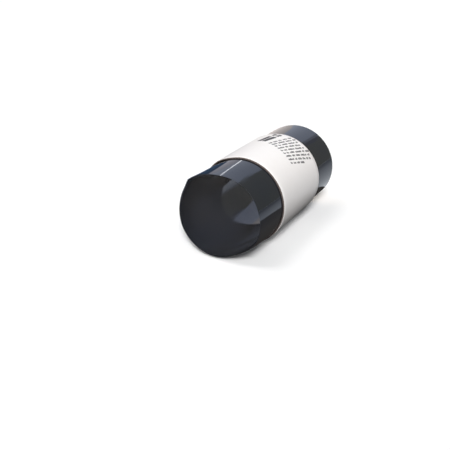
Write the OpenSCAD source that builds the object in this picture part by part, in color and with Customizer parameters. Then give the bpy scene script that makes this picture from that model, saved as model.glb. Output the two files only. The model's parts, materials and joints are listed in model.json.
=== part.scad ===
// A roll of thin blued spring steel shim stock. The strip is wound on itself into an open tube,
// and a sleeve of thin card holds it from springing open. The roll lies on its side, with its
// axis along Y, and rests on the sleeve. The origin is on the floor under its middle.

/* [Strip] */
// Width of the strip, which is the length of the tube
strip_width = 152.4; // [50:0.1:310]
// Thickness of the steel
strip_thickness = 0.127; // [0.05:0.001:0.4]
// Length of strip in the roll
strip_length = 1270; // [800:1:3000]

/* [Winding] */
// Outside diameter of the wound tube
tube_diameter = 73.6; // [50:0.1:120]
// Air between one turn and the next
turn_gap = 0.1; // [0.05:0.01:0.3]
// How far the gap between the turns runs in from each end
gap_depth = 0.8; // [0.2:0.1:3]
// Where the strip's outer end lies, in degrees above the right-hand side
outer_end_angle = 142; // [0:1:359]

/* [Sleeve] */
// Width of the sleeve along the tube
sleeve_width = 76.2; // [20:0.1:140]
// Bare steel between the front end of the tube and the sleeve
sleeve_setback = 40; // [2:0.5:100]
// Thickness of the sleeve's card
sleeve_thickness = 1.1; // [0.2:0.05:2]
// Room between the steel and the sleeve
sleeve_clearance = 0.15; // [0.05:0.01:0.3]
// Length of the glued lap round the sleeve
sleeve_lap = 16; // [6:1:40]
// Where the lap starts, in degrees above the right-hand side
sleeve_lap_angle = 188; // [0:1:359]

/* [Hidden] */
$fn = 180;

steel_blue = [0.13, 0.14, 0.17];
card_white = [0.95, 0.95, 0.94];

tube_radius = tube_diameter / 2;
pitch = strip_thickness + turn_gap;
// Each gap between turns is this much wider at its bottom than at its mouth
gap_undercut = strip_thickness / 4;
// The strip's length fixes how many half-turns the roll holds
turns = (tube_radius - sqrt(tube_radius * tube_radius - pitch * strip_length / PI)) / pitch;
// The last full turn is the closed one round the bore
half_turns = floor(2 * turns) - 2;
bore_radius = half_turn_radius(half_turns) - strip_thickness;
// An odd number of half-turns ends about the other of the spiral's two centres
outer_centre = half_turns % 2 * pitch / 2;

sleeve_inner = tube_radius + pitch / 2 + sleeve_clearance;
sleeve_outer = sleeve_inner + sleeve_thickness;
lap_sweep = sleeve_lap / sleeve_outer * 180 / PI;
// The roll rests on its sleeve
axis_height = sleeve_outer;

// Outer radius of half-turn k, where 0 is the outermost
function half_turn_radius(k) = tube_radius - k * pitch / 2;

// One end of the wall, as steps in (radius, depth): each turn's edge, then the gap inside it
function end_steps(first) = [
    for (k = [first : 2 : half_turns - 1])
        let (
            outer = half_turn_radius(k),
            inner = outer - strip_thickness,
            edge = [[outer, 0], [inner, 0], [inner + gap_undercut, gap_depth]]
        )
            each k + 2 < half_turns ? concat(edge, [[outer - pitch, gap_depth]]) : edge
];

function reversed(list) = [for (i = [len(list) - 1 : -1 : 0]) list[i]];

// Wall of every second half-turn, from the front end to the back
module wound_wall(first) {
    front = end_steps(first);
    back = [for (p = reversed(front)) [p[0], strip_width - p[1]]];
    rotate_extrude(angle = 180) polygon(concat(front, back));
}

// Innermost turn, closed into a circle round the bore and backed by the wall outside it
module closed_turn() {
    edge = bore_radius + strip_thickness;
    backing = edge + turn_gap + strip_thickness / 2;
    rotate_extrude(angle = 360)
        polygon([
            [bore_radius, 0], [edge, 0],
            [edge, gap_depth], [backing, gap_depth],
            [backing, strip_width - gap_depth], [edge, strip_width - gap_depth],
            [edge, strip_width], [bore_radius, strip_width]
        ]);
}

// Puts a shape turned about Z onto the roll's own axis, with its start at the front end
module on_roll_axis(angle) {
    translate([0, -strip_width / 2, axis_height])
        rotate([-90, 0, 0])
            rotate([0, 0, -angle])
                children();
}

// Half-turns swung alternately about two centres, half a pitch apart, join into one spiral
module shim_roll() {
    color(steel_blue)
        on_roll_axis(outer_end_angle)
            union() {
                translate([outer_centre, 0, 0]) wound_wall(0);
                translate([outer_centre - pitch / 2, 0, 0])
                    rotate([0, 0, 180])
                        wound_wall(1);
                closed_turn();
            }
}

// One band of card, with its end glued down over its start
module card_sleeve() {
    color(card_white)
        on_roll_axis(sleeve_lap_angle)
            translate([0, 0, sleeve_setback])
                union() {
                    rotate_extrude(angle = 360)
                        translate([sleeve_inner, 0])
                            square([sleeve_thickness, sleeve_width]);
                    rotate_extrude(angle = lap_sweep)
                        translate([sleeve_outer, 0])
                            square([sleeve_thickness, sleeve_width]);
                }
}

shim_roll();
card_sleeve();
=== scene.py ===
"""A roll of blued spring steel shim stock in its white card sleeve, dressed for its picture."""

import json
import math
import random

import bmesh
import bpy
from bpy.props import FloatProperty, FloatVectorProperty, PointerProperty, StringProperty
from mathutils import Matrix, Vector


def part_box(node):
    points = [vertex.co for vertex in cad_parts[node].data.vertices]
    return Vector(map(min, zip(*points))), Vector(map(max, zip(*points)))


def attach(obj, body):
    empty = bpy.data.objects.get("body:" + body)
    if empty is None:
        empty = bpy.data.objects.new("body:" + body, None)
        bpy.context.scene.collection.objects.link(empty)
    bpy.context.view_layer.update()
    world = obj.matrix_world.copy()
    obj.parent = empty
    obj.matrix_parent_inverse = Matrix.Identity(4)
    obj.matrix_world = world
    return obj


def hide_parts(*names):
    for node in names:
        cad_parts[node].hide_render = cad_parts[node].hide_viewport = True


bl_info = {
    "name": "Shim Stock Roll",
    "version": (1, 0, 0),
    "blender": (4, 5, 0),
    "location": "View3D > Sidebar > Shim Roll",
    "description": "Winds a roll of blued spring steel strip, wraps its card sleeve and sets up its stage",
    "category": "Add Mesh",
}

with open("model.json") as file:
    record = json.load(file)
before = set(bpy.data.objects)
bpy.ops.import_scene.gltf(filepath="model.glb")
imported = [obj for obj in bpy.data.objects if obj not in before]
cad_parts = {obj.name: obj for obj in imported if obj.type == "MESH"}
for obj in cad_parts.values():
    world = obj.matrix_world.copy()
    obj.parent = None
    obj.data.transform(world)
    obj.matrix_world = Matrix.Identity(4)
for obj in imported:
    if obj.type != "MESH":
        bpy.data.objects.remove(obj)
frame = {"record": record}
BORE = next(mount for mount in frame["record"]["mounts"] if mount["name"] == "bore")
AXIS_HEIGHT = BORE["pos_m"][2]
ROLL_LOW, ROLL_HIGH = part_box("shim_roll")
SLEEVE_LOW, SLEEVE_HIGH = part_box("card_sleeve")
MM = 0.001

# How far the front end is out of round, as waves round its rim: each wave's height in millimetres, and
# where its first crest lies, in degrees above the right-hand side. The first only draws the rim in, the
# second has one crest, the third two, and so on
RIM_WAVES = ((-0.32, 0), (1.55, 131), (1.18, 23), (0.55, 120), (0.37, 58), (0.38, 55))
# The waves grow from the sleeve to the rim as this power of the distance
RIM_FLARE = 2.2

# Roundings along the edges of the sleeve's two plies, and how far the board reaches into the white ply
FACE_ROUNDING = 0.12 * MM
BOARD_ROUNDING = 0.1 * MM
PLY_OVERLAP = 0.02 * MM

# How far the ink stands on the card, and how far it reaches down into it
INK_STANDS = 0.03 * MM
INK_REACHES = 0.02 * MM
# Cells of the ink's mesh: their length along a row, and their height, which is low because they bend
# round the sleeve
INK_CELL_LENGTH = 3 * MM
INK_CELL_HEIGHT = 0.9 * MM
# Where the printed block's first corner lies, from the roll's middle and from its top
PRINT_CORNER = Vector((9.2 * MM, -0.5 * MM))
# Lengths of the rows in the printed block, and the height of their dashes, in millimetres
ROW_LENGTHS = (29.5, 31.0, 31.0, 33.0, 34.0, 36.5, 35.0, 34.0, 21.5)
DASH_HEIGHT = 1.9
# A dash's least and greatest width, the gap after it and the gap after a group, as shares of its height
DASH_WIDTHS, DASH_GAP, GROUP_GAP = (0.4, 0.7), 0.18, 0.8
# The heading over the block, in millimetres from the block's corner. The plain bars: how far down each
# lies, where they start, and their size
BARS_DOWN = (-16.0, -10.2)
BAR_START, BAR_LENGTH, BAR_HEIGHT = 2.2, 15, 4.7
# The rows of larger dashes beside them: how far down each lies and where it ends, where they start, and
# their height
LARGE_ROWS = ((-15.5, 25), (-10.3, 27.5))
LARGE_START, LARGE_HEIGHT = 19.5, 4.2

# Each lamp's name, the direction that it shines from, its strength, and its softness in degrees
SUNS = (
    ("front_key", (0.353, -0.680, 0.643), 3.38, 15),
    ("left_key", (-0.30, -0.35, 0.85), 0.70, 25),
)
# The flat studio cards that the polished steel mirrors: each one's name, its corners in millimetres, its
# strength and its tint. The soft edges are dimmer strips that soften the light card's right edge low
# down, where the far end mirrors it
CARDS = (
    ("light_card",
     ((-260, 137.5, 1), (19.6, 137.5, 1), (28, 179.6, 163), (38, 192.9, 214),
      (23, 196.8, 229), (-5, 199.9, 241), (-5, 246.4, 420), (-260, 246.4, 420)),
     1.0, (0.76, 0.82, 0.96)),
    ("soft_edge",
     ((25.3, 166.2, 112), (34.8, 166.2, 112), (36.6, 172.7, 137), (26.7, 172.7, 137)),
     0.6, (0.76, 0.80, 0.92)),
    ("softer_edge",
     ((34.8, 166.2, 112), (48.6, 166.2, 112), (50.4, 172.7, 137), (36.6, 172.7, 137)),
     0.28, (0.80, 0.80, 0.88)),
    ("warm_card",
     ((-110, 134.5, 1), (-50, 134.5, 1), (-48, 160.2, 100), (-62, 164.9, 118), (-110, 170.6, 140)),
     1.0, (1.0, 0.92, 0.88)),
    ("rose_card",
     ((-230, 134.5, 1), (-110.2, 134.5, 1), (-110.2, 171.9, 145), (-150, 175.1, 157), (-230, 175.1, 157)),
     1.0, (0.69, 0.68, 0.76)),
    ("dark_floor_card",
     ((141, 49, 0.4), (7, 121, 0.4), (-142, -140, 0.4), (-8, -212, 0.4)),
     0.14, (1.0, 0.93, 0.88)),
    ("dark_left_card",
     ((-60, -20, 0.6), (-60, 95, 0.6), (-60, 95, 47.5), (-60, -20, 94.7)),
     0.12, (0.35, 0.7, 1.3)),
    ("highlight_strip",
     ((-154.4, 184.5, 209), (-149, 186.1, 212.2), (-110.6, 172.5, 154), (-116, 170.9, 150.8)),
     5.0, (1, 1, 1)),
)
# The rays that a stage object is hidden from where only the steel mirrors it, and where it only lights
ONLY_MIRRORED = ("camera", "diffuse", "transmission", "shadow")
ONLY_LIGHTING = ("camera", "glossy", "transmission", "shadow")


class StripSettings(bpy.types.PropertyGroup):
    """The steel strip and how it is wound."""

    thickness: FloatProperty(
        name="Thickness", description="Thickness of the steel", default=0.127 * MM, unit="LENGTH",
        precision=6,
    )
    length: FloatProperty(
        name="Length", description="Length of strip in the roll", default=1270 * MM, unit="LENGTH"
    )
    width: FloatProperty(
        name="Width", description="Width of the strip, along the roll",
        default=ROLL_HIGH.y - ROLL_LOW.y, unit="LENGTH",
    )
    turn_gap: FloatProperty(
        name="Turn gap", description="Air between one turn and the next", default=0.1 * MM, unit="LENGTH",
        precision=6,
    )
    outer_end: FloatProperty(
        name="Outer end", description="Where the strip's outer end lies, above the right-hand side",
        default=math.radians(140), subtype="ANGLE",
    )
    sprung_arc: FloatProperty(
        name="Sprung arc", description="How much of the outer end springs away from the roll",
        default=math.radians(40), subtype="ANGLE",
    )
    sprung_by: FloatProperty(
        name="Sprung by", description="How far the outer end springs away", default=1.7 * MM, unit="LENGTH"
    )
    lee: FloatProperty(
        name="Lee", description="How far past the outer end the turns under it stay lifted",
        default=math.radians(12), subtype="ANGLE",
    )
    stagger: FloatProperty(
        name="Stagger", description="How far the inner turns stand back from the outer ones at the front",
        default=2.7 * MM, unit="LENGTH",
    )
    stagger_at: FloatProperty(
        name="Stagger at", description="Where the inner turns stand back most, above the right-hand side",
        default=math.radians(45), subtype="ANGLE",
    )
    rim_waves: FloatProperty(
        name="Rim waves", description="How strongly the front end is out of round", default=1.0,
        min=0, max=1,
    )
    blued: StringProperty(name="Blued face", description="Colour of the blued steel", default="#42464E")
    slit: StringProperty(
        name="Slit edge", description="Colour of the strip's cut edges", default="#585A60"
    )


class SleeveSettings(bpy.types.PropertyGroup):
    """The card sleeve and what is printed on it."""

    lap: FloatProperty(name="Lap", description="Length of the glued lap", default=16 * MM, unit="LENGTH")
    lap_at: FloatProperty(
        name="Lap at", description="Where the lap starts, above the right-hand side",
        default=math.radians(188), subtype="ANGLE",
    )
    clearance: FloatProperty(
        name="Clearance", description="Room between the steel and the card", default=0.15 * MM,
        unit="LENGTH", precision=6,
    )
    climb: FloatProperty(
        name="Climb", description="Length over which the card rises onto the lap", default=9 * MM,
        unit="LENGTH",
    )
    face_ply: FloatProperty(
        name="Face ply", description="Thickness of the white ply", default=0.4 * MM, unit="LENGTH",
        precision=6,
    )
    set_back: FloatProperty(
        name="Set back", description="How far the white ply stops short of the sleeve's ends",
        default=1.2 * MM, unit="LENGTH",
    )
    bulge: FloatProperty(
        name="Bulge", description="How far the strip's sprung end pushes the sleeve out",
        default=1.7 * MM, unit="LENGTH",
    )
    bulge_at: FloatProperty(
        name="Bulge at", description="Where the sleeve bulges, above the right-hand side",
        default=math.radians(137), subtype="ANGLE",
    )
    bulge_arc: FloatProperty(
        name="Bulge arc", description="How far the bulge reaches to either side",
        default=math.radians(33), subtype="ANGLE",
    )
    row_pitch: FloatProperty(
        name="Row pitch", description="Distance from one row to the next", default=3.67 * MM, unit="LENGTH"
    )
    print_slant: FloatProperty(
        name="Print slant", description="How far the rows turn away from the roll's axis",
        default=math.radians(17.5), subtype="ANGLE",
    )
    card: StringProperty(name="Card face", description="Colour of the coated face", default="#F4F1F0")
    board: StringProperty(name="Board", description="Colour of the card's cut edge", default="#5E5450")
    ink: StringProperty(name="Ink", description="Colour of the print", default="#242428")


class StageSettings(bpy.types.PropertyGroup):
    """The camera, the lamps and the floor."""

    camera_place: FloatVectorProperty(
        name="Camera", description="Where the camera stands", default=(0.2302, -0.4869, 0.2584),
        unit="LENGTH", size=3,
    )
    camera_ahead: FloatVectorProperty(
        name="Ahead", description="The direction the camera looks in",
        default=(-0.43252, 0.79097, -0.43278), size=3,
    )
    camera_roll: FloatProperty(
        name="Roll", description="How far the camera leans", default=math.radians(-1.53), subtype="ANGLE"
    )
    sensor: FloatProperty(name="Sensor", description="Width of the sensor, in millimetres", default=36)
    lens: FloatProperty(name="Lens", description="Focal length, in millimetres", default=52.59)
    ambient: FloatProperty(
        name="Ambient", description="Strength of the light from all round", default=0.2
    )
    floor: StringProperty(name="Floor", description="Colour of the floor", default="#FAFAFA")
    bounce: StringProperty(
        name="Bounce", description="Colour of the floor where it throws light back up", default="#262626"
    )
    backdrop: StringProperty(name="Backdrop", description="Colour behind the roll", default="#FFFFFF")


def linear(hex_colour):
    """An sRGB hex colour as linear red, green, blue and alpha."""
    channels = [int(hex_colour[i : i + 2], 16) / 255 for i in (1, 3, 5)]
    return [c / 12.92 if c <= 0.04045 else ((c + 0.055) / 1.055) ** 2.4 for c in channels] + [1.0]


def toned(colour, red, green, blue):
    """A linear colour with its red, green and blue made this many times as strong."""
    return [channel * factor for channel, factor in zip(colour, (red, green, blue))] + [1.0]


def ease(t):
    """0 before t = 0, 1 after t = 1, smooth between."""
    t = min(max(t, 0.0), 1.0)
    return t * t * (3 - 2 * t)


def add(tree, kind, links=None, **settings):
    """Adds a shader node with its settings, and links or sets its inputs."""
    node = tree.nodes.new(kind)
    for name, value in settings.items():
        setattr(node, name, value)
    for name, value in (links or {}).items():
        if isinstance(value, bpy.types.NodeSocket):
            tree.links.new(value, node.inputs[name])
        else:
            node.inputs[name].default_value = value
    return node


def new_material(name):
    """A new node material with its Principled shader and its Object coordinates."""
    material = bpy.data.materials.new(name)
    material.use_nodes = True
    tree = material.node_tree
    shader = tree.nodes["Principled BSDF"]
    coordinates = add(tree, "ShaderNodeTexCoord").outputs["Object"]
    return material, tree, shader, coordinates


def blued_steel(settings):
    """Tempered and polished spring steel with a blue-black oxide skin: a dark mirror, charcoal face on and
    bright at a glance. The oxide is about a quarter matt, so the mirror never goes fully black."""
    material, tree, shader, coordinates = new_material("blued_spring_steel")
    face = linear(settings.blued)
    # Temper colour drifts between a bluer and a browner black, 36 mm to a patch: 28 to the metre
    drift = add(tree, "ShaderNodeTexNoise", {"Vector": coordinates, "Scale": 28.0, "Detail": 2.0})
    tint = add(tree, "ShaderNodeMix", {"Factor": drift.outputs["Fac"], "A": toned(face, 0.84, 0.90, 1.04),
                                       "B": toned(face, 1.18, 1.10, 0.98)}, data_type="RGBA")
    # Rolling lines run along the strip, so they ring the roll. Real ones are hundredths of a millimetre
    # apart, and these are 0.5 mm apart, 2000 to the metre, so that they show
    along = add(tree, "ShaderNodeMapping", {"Vector": coordinates, "Scale": (12.0, 2000.0, 12.0)})
    lines = add(tree, "ShaderNodeTexNoise", {"Vector": along.outputs["Vector"], "Scale": 1.0,
                                             "Detail": 3.0})
    # Handling leaves an oil film in patches about 10 mm across, 95 to the metre
    film = add(tree, "ShaderNodeTexNoise", {"Vector": coordinates, "Scale": 95.0, "Detail": 4.0,
                                            "Roughness": 0.6})
    rough = add(tree, "ShaderNodeMapRange", {"Value": film.outputs["Fac"], "From Min": 0.35,
                                             "From Max": 0.7, "To Min": 0.05, "To Max": 0.085})
    ridge = add(tree, "ShaderNodeBump", {"Height": lines.outputs["Fac"], "Strength": 0.05,
                                         "Distance": 0.00001})
    tree.links.new(tint.outputs["Result"], shader.inputs["Base Color"])
    tree.links.new(rough.outputs["Result"], shader.inputs["Roughness"])
    tree.links.new(ridge.outputs["Normal"], shader.inputs["Normal"])
    shader.inputs["Metallic"].default_value = 0.73
    return material


def slit_edge(settings):
    """The strip's sheared edge: bare steel, brighter and duller than the blued face, scored across."""
    material, tree, shader, coordinates = new_material("slit_steel_edge")
    bare = linear(settings.slit)
    # Real score marks are hundredths of a millimetre apart. These are 0.4 mm apart, 2500 to the metre, so
    # that they show
    score = add(tree, "ShaderNodeTexNoise", {"Vector": coordinates, "Scale": 2500.0, "Detail": 2.0})
    shade = add(tree, "ShaderNodeMix", {"Factor": score.outputs["Fac"], "A": toned(bare, 0.6, 0.6, 0.6),
                                        "B": toned(bare, 1.3, 1.3, 1.3)}, data_type="RGBA")
    tree.links.new(shade.outputs["Result"], shader.inputs["Base Color"])
    shader.inputs["Metallic"].default_value = 1.0
    shader.inputs["Roughness"].default_value = 0.38
    return material


def coated_card(settings):
    """Clay-coated white card: smooth and matt with a soft sheen, with faint fibre clouding under the
    coat."""
    material, tree, shader, coordinates = new_material("clay_coated_card")
    white = linear(settings.card)
    # The stock clouds over about 6 mm, 160 to the metre
    cloud = add(tree, "ShaderNodeTexNoise", {"Vector": coordinates, "Scale": 160.0, "Detail": 5.0,
                                             "Roughness": 0.65})
    tone = add(tree, "ShaderNodeMix", {"Factor": cloud.outputs["Fac"],
                                       "A": toned(white, 0.955, 0.95, 0.94), "B": white},
               data_type="RGBA")
    # Fibres about 0.55 mm long lift the coat, 1800 to the metre
    fibre = add(tree, "ShaderNodeTexNoise", {"Vector": coordinates, "Scale": 1800.0, "Detail": 3.0})
    grain = add(tree, "ShaderNodeBump", {"Height": fibre.outputs["Fac"], "Strength": 0.08,
                                         "Distance": 0.00004})
    tree.links.new(tone.outputs["Result"], shader.inputs["Base Color"])
    tree.links.new(grain.outputs["Normal"], shader.inputs["Normal"])
    shader.inputs["Roughness"].default_value = 0.5
    shader.inputs["Coat Weight"].default_value = 0.15
    shader.inputs["Coat Roughness"].default_value = 0.3
    return material


def grey_board(settings):
    """The recycled board inside the card: brown-grey, fibrous and dead matt, where the card is cut."""
    material, tree, shader, coordinates = new_material("recycled_board")
    brown = linear(settings.board)
    # Torn fibres about 1.1 mm long, 900 to the metre
    fibre = add(tree, "ShaderNodeTexNoise", {"Vector": coordinates, "Scale": 900.0, "Detail": 5.0,
                                             "Roughness": 0.7})
    tone = add(tree, "ShaderNodeMix", {"Factor": fibre.outputs["Fac"], "A": toned(brown, 0.6, 0.6, 0.6),
                                       "B": toned(brown, 1.25, 1.25, 1.25)}, data_type="RGBA")
    fuzz = add(tree, "ShaderNodeBump", {"Height": fibre.outputs["Fac"], "Strength": 0.4,
                                        "Distance": 0.00015})
    tree.links.new(tone.outputs["Result"], shader.inputs["Base Color"])
    tree.links.new(fuzz.outputs["Normal"], shader.inputs["Normal"])
    shader.inputs["Roughness"].default_value = 0.95
    return material


def printing_ink(settings):
    """Black offset ink: a thin matt film that lets a little of the card's fibre through."""
    material, tree, shader, coordinates = new_material("offset_ink")
    black = linear(settings.ink)
    # Specks about 0.45 mm across where the fibres show, 2200 to the metre
    speck = add(tree, "ShaderNodeTexNoise", {"Vector": coordinates, "Scale": 2200.0, "Detail": 3.0})
    tone = add(tree, "ShaderNodeMix", {"Factor": speck.outputs["Fac"], "A": black,
                                       "B": toned(black, 2.2, 2.2, 2.2)}, data_type="RGBA")
    tree.links.new(tone.outputs["Result"], shader.inputs["Base Color"])
    shader.inputs["Roughness"].default_value = 0.55
    return material


def blank(columns, rows):
    """A flat sheet from 0 to 1 both ways, as a bmesh."""
    mesh = bmesh.new()
    bmesh.ops.create_grid(mesh, x_segments=columns, y_segments=rows, size=0.5)
    bmesh.ops.translate(mesh, verts=mesh.verts, vec=(0.5, 0.5, 0))
    return mesh


def round_axis(angle, radius, along):
    """The point at this angle above the right-hand side, this far from the roll's axis."""
    return Vector((radius * math.cos(angle), along, AXIS_HEIGHT + radius * math.sin(angle)))


def turned_angle(length, outer_radius, pitch):
    """Angle turned by this length of strip, from its outer end inwards."""
    return (outer_radius - math.sqrt(outer_radius**2 - pitch * length / math.pi)) * 2 * math.pi / pitch


def finish_piece(mesh, name, materials, node=None, crease=math.radians(35)):
    """Makes a piece of a bmesh, gives it its materials, and lets it ride on the part."""
    data = bpy.data.meshes.new(name)
    bmesh.ops.recalc_face_normals(mesh, faces=mesh.faces)
    mesh.to_mesh(data)
    mesh.free()
    data.shade_smooth()
    data.set_sharp_from_angle(angle=crease)
    for material in materials:
        data.materials.append(material)
    piece = bpy.data.objects.new(name, data)
    bpy.context.scene.collection.objects.link(piece)
    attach(piece, "root")
    if node:
        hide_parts(node)


class SHIM_OT_wind_strip(bpy.types.Operator):
    """Winds the flat strip into the roll"""

    bl_idname = "shim.wind_strip"
    bl_label = "Wind Strip"

    def execute(self, context):
        settings = context.scene.shim_strip
        pitch = settings.thickness + settings.turn_gap
        outer_radius = ROLL_HIGH.z - AXIS_HEIGHT
        sweep = turned_angle(settings.length, outer_radius, pitch)
        middle = (ROLL_LOW.y + ROLL_HIGH.y) / 2

        def flare(along):
            """0 from the sleeve's front edge backwards, growing to 1 at the front rim."""
            return max((SLEEVE_LOW.y - along) / (SLEEVE_LOW.y - ROLL_LOW.y), 0.0) ** RIM_FLARE

        def out_of_round(angle):
            """How far the front rim stands out from round at this angle."""
            crests = enumerate(RIM_WAVES)
            return sum(height * math.cos(n * (angle - math.radians(at))) for n, (height, at) in crests) * MM

        def lifted(angle, turned):
            """How far the sprung outer end lifts the strip here. The turns under it follow less and
            less."""
            behind = (settings.outer_end - angle) % (2 * math.pi)
            past = (angle - settings.outer_end) % (2 * math.pi)
            share = 0.0
            if behind < settings.sprung_arc:
                share = (1 - behind / settings.sprung_arc) ** 2
            elif past < settings.lee:
                share = (1 - past / settings.lee) ** 2
            return settings.sprung_by * share * max(1 - turned / sweep, 0.0)

        def wound(length, across):
            """Where a point of the flat strip comes to lie in the roll."""
            turned = turned_angle(length, outer_radius, pitch)
            angle = settings.outer_end - turned
            along = middle + (across - 0.5) * settings.width
            radius = outer_radius - pitch * turned / (2 * math.pi) - settings.thickness / 2
            radius += lifted(angle, turned)
            radius += flare(along) * settings.rim_waves * out_of_round(angle)
            # The winding ran off true: at the front, the inner turns stand back on one side
            ran_off = (1 - across) * turned / sweep * (0.5 + 0.5 * math.cos(angle - settings.stagger_at))
            along += settings.stagger * ran_off
            return round_axis(angle, radius, along)

        mesh = blank(columns=700, rows=40)
        for vertex in mesh.verts:
            vertex.co = wound(vertex.co.x * settings.length, vertex.co.y)
        bmesh.ops.recalc_face_normals(mesh, faces=mesh.faces)
        bmesh.ops.solidify(mesh, geom=mesh.faces[:], thickness=settings.thickness)
        # Only the faces of the slit edges are as narrow as the steel is thick
        for face in mesh.faces:
            shortest = min(edge.calc_length() for edge in face.edges)
            face.material_index = 1 if shortest < 1.5 * settings.thickness else 0
        finish_piece(
            mesh, "wound_strip", [blued_steel(settings), slit_edge(settings)],
            node="shim_roll",
        )
        return {"FINISHED"}


def bulge(angle, settings):
    """How far the sleeve stands out at this angle, over the strip's sprung end."""
    off = abs(angle - settings.bulge_at) / settings.bulge_arc
    return settings.bulge * math.cos(min(off, 1.0) * math.pi / 2) ** 2


class SHIM_OT_wrap_sleeve(bpy.types.Operator):
    """Wraps the card sleeve round the roll"""

    bl_idname = "shim.wrap_sleeve"
    bl_label = "Wrap Sleeve"

    def execute(self, context):
        settings = context.scene.shim_sleeve
        outer_radius = SLEEVE_HIGH.z - AXIS_HEIGHT
        inner_radius = ROLL_HIGH.z - AXIS_HEIGHT + settings.clearance
        whole = outer_radius - inner_radius
        girth = 2 * math.pi * outer_radius
        mesh = bmesh.new()

        def ply(base, thickness, set_back, material, rounding):
            """One ply of the card, from this radius outwards, its edges set back from the sleeve's ends."""

            def wrapped(run, across):
                """Where a point of the flat ply comes to lie round the roll."""
                angle = settings.lap_at + run / outer_radius
                climbed = whole * ease((run - (girth - settings.climb)) / settings.climb)
                along = SLEEVE_LOW.y + set_back + across * (SLEEVE_HIGH.y - SLEEVE_LOW.y - 2 * set_back)
                return round_axis(angle, base + climbed + bulge(angle % (2 * math.pi), settings), along)

            sheet = blank(columns=280, rows=16)
            for vertex in sheet.verts:
                vertex.co = wrapped(vertex.co.x * (girth + settings.lap), vertex.co.y)
            grown = bmesh.ops.extrude_face_region(sheet, geom=sheet.faces[:])["geom"]
            for vertex in (part for part in grown if isinstance(part, bmesh.types.BMVert)):
                spoke = Vector((vertex.co.x, 0, vertex.co.z - AXIS_HEIGHT)).normalized()
                vertex.co += spoke * thickness
            bmesh.ops.recalc_face_normals(sheet, faces=sheet.faces)
            # Only the edges round the ply's rim are this sharp
            rim = [edge for edge in sheet.edges if edge.calc_face_angle(0) > math.radians(60)]
            bmesh.ops.bevel(
                sheet, geom=rim, offset=rounding, offset_type="OFFSET", affect="EDGES", segments=2,
                profile=0.5, material=-1,
            )
            for face in sheet.faces:
                face.material_index = material
            data = bpy.data.meshes.new("ply")
            sheet.to_mesh(data)
            sheet.free()
            mesh.from_mesh(data)
            bpy.data.meshes.remove(data)

        # The board reaches the sleeve's ends, and the white ply that faces it stops short of them
        face_ply = settings.face_ply
        ply(outer_radius - face_ply, face_ply, settings.set_back, 0, FACE_ROUNDING)
        ply(inner_radius, whole - face_ply + PLY_OVERLAP, 0.0, 1, BOARD_ROUNDING)
        finish_piece(
            mesh, "card_band", [coated_card(settings), grey_board(settings)],
            node="card_sleeve", crease=math.radians(50),
        )
        return {"FINISHED"}


class SHIM_OT_print_sleeve(bpy.types.Operator):
    """Prints plain bars and rows of plain dashes on the sleeve"""

    bl_idname = "shim.print_sleeve"
    bl_label = "Print Sleeve"

    def execute(self, context):
        settings = context.scene.shim_sleeve
        card_radius = SLEEVE_HIGH.z - AXIS_HEIGHT
        slant = Matrix.Rotation(settings.print_slant, 2)
        dice = random.Random(4)
        mesh = bmesh.new()

        def stamp(at, down, width, height):
            """A plain block of ink, placed on the flat print and bent round the sleeve."""
            columns = max(1, round(width / INK_CELL_LENGTH))
            rows = max(1, round(height / INK_CELL_HEIGHT))
            made = bmesh.ops.create_grid(mesh, x_segments=columns, y_segments=rows, size=0.5)
            faces = list({face for vertex in made["verts"] for face in vertex.link_faces})
            film = bmesh.ops.extrude_face_region(mesh, geom=faces)["geom"]
            top = {part for part in film if isinstance(part, bmesh.types.BMVert)}
            for vertex in list(made["verts"]) + list(top):
                x, y = vertex.co.x + 0.5, vertex.co.y + 0.5
                flat = PRINT_CORNER + slant @ Vector((at + x * width, down + y * height))
                angle = math.pi / 2 - flat.y / card_radius
                lift = bulge(angle, settings) + (INK_STANDS if vertex in top else -INK_REACHES)
                vertex.co = round_axis(angle, card_radius + lift, flat.x)

        def dashes(down, start, end, height):
            """A row of plain dashes in uneven groups."""
            at = start
            while at < end - height:
                for _ in range(dice.randint(2, 6)):
                    wide = dice.uniform(*DASH_WIDTHS) * height
                    if at + wide > end:
                        return
                    low = dice.choice((1.0, 1.0, 0.75))
                    stamp(at, down + (1 - low) * height, wide, height * low)
                    at += wide + DASH_GAP * height
                at += GROUP_GAP * height

        for down in BARS_DOWN:
            stamp(BAR_START * MM, down * MM, BAR_LENGTH * MM, BAR_HEIGHT * MM)
        for down, end in LARGE_ROWS:
            dashes(down * MM, LARGE_START * MM, end * MM, LARGE_HEIGHT * MM)
        for row, length in enumerate(ROW_LENGTHS):
            dashes(row * settings.row_pitch, 0.0, length * MM, DASH_HEIGHT * MM)
        finish_piece(mesh, "printed_rows", [printing_ink(settings)])
        return {"FINISHED"}


def glow(name, strength, tint):
    """A plain emitting material for the studio's cards, its screen and its rod."""
    material = bpy.data.materials.new(name)
    material.use_nodes = True
    tree = material.node_tree
    tree.nodes.clear()
    shine = add(tree, "ShaderNodeEmission", {"Color": (*tint, 1), "Strength": strength})
    add(tree, "ShaderNodeOutputMaterial", {"Surface": shine.outputs["Emission"]})
    return material


def stage_object(name, mesh, material, hidden_from=(), place=(0, 0, 0)):
    """Makes a stage object of a bmesh, and hides it from these kinds of rays."""
    data = bpy.data.meshes.new(name)
    mesh.to_mesh(data)
    mesh.free()
    data.materials.append(material)
    thing = bpy.data.objects.new(name, data)
    thing.location = place
    bpy.context.scene.collection.objects.link(thing)
    for ray in hidden_from:
        setattr(thing, "visible_" + ray, False)


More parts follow.
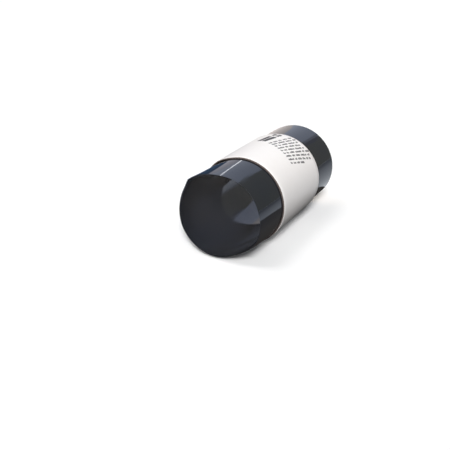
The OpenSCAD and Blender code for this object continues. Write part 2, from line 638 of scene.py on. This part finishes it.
class SHIM_OT_build_stage(bpy.types.Operator):
    """Lays the floor and sets up the backdrop, the lamps and the camera"""

    bl_idname = "shim.build_stage"
    bl_label = "Build Stage"

    def execute(self, context):
        settings = context.scene.shim_stage
        self.lay_floor(settings)
        self.light_world(context.scene, settings)
        self.hang_lamps(context.scene)
        self.hang_dark_screen()
        self.hang_cards()
        self.fade_floor()
        self.fill_bore()
        self.place_camera(context.scene, settings)
        context.scene.view_settings.view_transform = "Standard"
        return {"FINISHED"}

    def lay_floor(self, settings):
        """A sheet of paper that is pale to the eye, and throws little of its light back up at the roll."""
        mesh = bmesh.new()
        bmesh.ops.create_grid(mesh, x_segments=1, y_segments=1, size=6)
        material, tree, shader, _ = new_material("floor_paper")
        path = add(tree, "ShaderNodeLightPath")
        bounce = add(tree, "ShaderNodeMix", {"Factor": path.outputs["Is Diffuse Ray"],
                                             "A": linear(settings.floor), "B": linear(settings.bounce)},
                     data_type="RGBA")
        tree.links.new(bounce.outputs["Result"], shader.inputs["Base Color"])
        shader.inputs["Roughness"].default_value = 0.9
        stage_object("floor", mesh, material)

    def light_world(self, scene, settings):
        """White to the camera, to the mirroring steel and through glass, and dimmer as a light."""
        world = bpy.data.worlds.new("backdrop")
        scene.world = world
        world.use_nodes = True
        tree = world.node_tree
        tree.nodes.clear()
        path = add(tree, "ShaderNodeLightPath")
        seen = add(tree, "ShaderNodeMath",
                   {0: path.outputs["Is Camera Ray"], 1: path.outputs["Is Glossy Ray"]},
                   operation="MAXIMUM")
        through = add(tree, "ShaderNodeMath", {0: seen.outputs[0], 1: path.outputs["Is Transmission Ray"]},
                      operation="MAXIMUM")
        ambient = add(tree, "ShaderNodeBackground", {"Color": (1, 1, 1, 1), "Strength": settings.ambient})
        pale = add(tree, "ShaderNodeBackground", {"Color": linear(settings.backdrop), "Strength": 1.0})
        both = add(tree, "ShaderNodeMixShader",
                   {0: through.outputs[0], 1: ambient.outputs[0], 2: pale.outputs[0]})
        add(tree, "ShaderNodeOutputWorld", {"Surface": both.outputs[0]})

    def hang_lamps(self, scene):
        """The soft distant lamps."""
        for name, towards, strength, softness in SUNS:
            data = bpy.data.lights.new(name, "SUN")
            data.energy = strength
            data.angle = math.radians(softness)
            light = bpy.data.objects.new(name, data)
            light.matrix_world = Vector(towards).to_track_quat("Z", "Y").to_matrix().to_4x4()
            scene.collection.objects.link(light)

    def hang_dark_screen(self):
        """A dark screen in an arc behind the roll, 0.8 m away, from 10 degrees left of it to 50 degrees
        right, and from the floor up to 60 degrees."""
        distance = 0.8
        first, last, top = math.radians(-10), math.radians(50), math.radians(60)
        across, back = distance * math.sin(first), distance * math.cos(first)
        mesh = bmesh.new()
        foot = mesh.verts.new((across, back, 0.5 * MM))
        head = mesh.verts.new((across, back, distance * math.tan(top)))
        post = mesh.edges.new((foot, head))
        bmesh.ops.spin(mesh, geom=[foot, head, post], cent=(0, 0, 0), axis=(0, 0, -1), angle=last - first,
                       steps=16, use_duplicate=False)
        cloth = glow("dark_screen_cloth", 0.27, (1.0, 1.0, 0.85))
        stage_object("dark_screen", mesh, cloth, ONLY_MIRRORED)

    def hang_cards(self):
        """The flat cards, and the shade of the roll on the one that lies under it."""
        for name, corners, strength, tint in CARDS:
            mesh = bmesh.new()
            mesh.faces.new([mesh.verts.new(Vector(corner) * MM) for corner in corners])
            paint = glow(name + "_paint", strength, tint)
            stage_object(name, mesh, paint, ONLY_MIRRORED)
            if name == "dark_floor_card":
                self.shade_under_roll(paint.node_tree)

    def shade_under_roll(self, tree):
        """The roll shades the card under it, which darkens from 56 to 24 mm right of the roll's axis."""
        strength = tree.nodes["Emission"].inputs["Strength"]
        place = add(tree, "ShaderNodeTexCoord").outputs["Object"]
        across = add(tree, "ShaderNodeSeparateXYZ", {"Vector": place})
        shade = add(tree, "ShaderNodeMapRange", {"Value": across.outputs["X"], "From Min": 0.024,
                                                 "From Max": 0.056, "To Min": 0.045,
                                                 "To Max": strength.default_value})
        tree.links.new(shade.outputs["Result"], strength)

    def fade_floor(self):
        """The floor as the steel mirrors it: it darkens away from the roll, from 12 to 46 cm."""
        mesh = bmesh.new()
        bmesh.ops.create_circle(mesh, cap_ends=True, segments=48, radius=0.78)
        paper = glow("mirrored_floor_paper", 0.3, (0.95, 1.0, 1.06))
        tree = paper.node_tree
        strength = tree.nodes["Emission"].inputs["Strength"]
        place = add(tree, "ShaderNodeTexCoord").outputs["Object"]
        away = add(tree, "ShaderNodeVectorMath", {0: place}, operation="LENGTH")
        fade = add(tree, "ShaderNodeMapRange", {"Value": away.outputs["Value"], "From Min": 0.12,
                                                "From Max": 0.46, "To Min": 0.82,
                                                "To Max": strength.default_value})
        tree.links.new(fade.outputs["Result"], strength)
        stage_object("mirrored_floor", mesh, paper, ONLY_MIRRORED, place=(0, 0, 0.3 * MM))

    def fill_bore(self):
        """A thin glowing rod in the bore, up and left of its axis, never seen itself, that lifts the shade
        there."""
        mesh = bmesh.new()
        bmesh.ops.create_cone(mesh, cap_ends=True, segments=12, radius1=1 * MM, radius2=1 * MM,
                              depth=ROLL_HIGH.y - ROLL_LOW.y, matrix=Matrix.Rotation(math.pi / 2, 4, "X"))
        tube = glow("bore_fill_tube", 21.0, (1.10, 0.94, 0.76))
        stage_object("bore_fill", mesh, tube, ONLY_LIGHTING, place=(-9 * MM, 0, AXIS_HEIGHT + 6 * MM))

    def place_camera(self, scene, settings):
        """Stands the camera in its place, looking ahead and leaning by its roll."""
        data = bpy.data.cameras.new("camera")
        data.sensor_width = settings.sensor
        data.lens = settings.lens
        data.clip_start = 0.01
        camera = bpy.data.objects.new("camera", data)
        ahead = Vector(settings.camera_ahead).normalized()
        level = ahead.cross(Vector((0, 0, 1))).normalized()
        down = ahead.cross(level)
        lean_cos, lean_sin = math.cos(settings.camera_roll), math.sin(settings.camera_roll)
        right = level * lean_cos + down * lean_sin
        up = level * lean_sin - down * lean_cos
        turned = Matrix((right, up, -ahead)).transposed().to_4x4()
        camera.matrix_world = Matrix.Translation(settings.camera_place) @ turned
        scene.collection.objects.link(camera)
        scene.camera = camera


OPERATORS = (SHIM_OT_wind_strip, SHIM_OT_wrap_sleeve, SHIM_OT_print_sleeve, SHIM_OT_build_stage)


class SHIM_PT_panel(bpy.types.Panel):
    """Lists the steps that make the roll"""

    bl_label = "Shim Roll"
    bl_space_type = "VIEW_3D"
    bl_region_type = "UI"
    bl_category = "Shim Roll"

    def draw(self, context):
        for settings in (context.scene.shim_strip, context.scene.shim_sleeve, context.scene.shim_stage):
            box = self.layout.box()
            for name in settings.__annotations__:
                box.prop(settings, name)
        for operator in OPERATORS:
            self.layout.operator(operator.bl_idname)


CLASSES = (StripSettings, SleeveSettings, StageSettings, *OPERATORS, SHIM_PT_panel)


def register():
    for cls in CLASSES:
        bpy.utils.register_class(cls)
    bpy.types.Scene.shim_strip = PointerProperty(type=StripSettings)
    bpy.types.Scene.shim_sleeve = PointerProperty(type=SleeveSettings)
    bpy.types.Scene.shim_stage = PointerProperty(type=StageSettings)


def unregister():
    del bpy.types.Scene.shim_strip
    del bpy.types.Scene.shim_sleeve
    del bpy.types.Scene.shim_stage
    for cls in reversed(CLASSES):
        bpy.utils.unregister_class(cls)


def main():
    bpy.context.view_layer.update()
    register()
    bpy.ops.shim.wind_strip()
    bpy.ops.shim.wrap_sleeve()
    bpy.ops.shim.print_sleeve()
    bpy.ops.shim.build_stage()


if __name__ == "__main__":
    main()
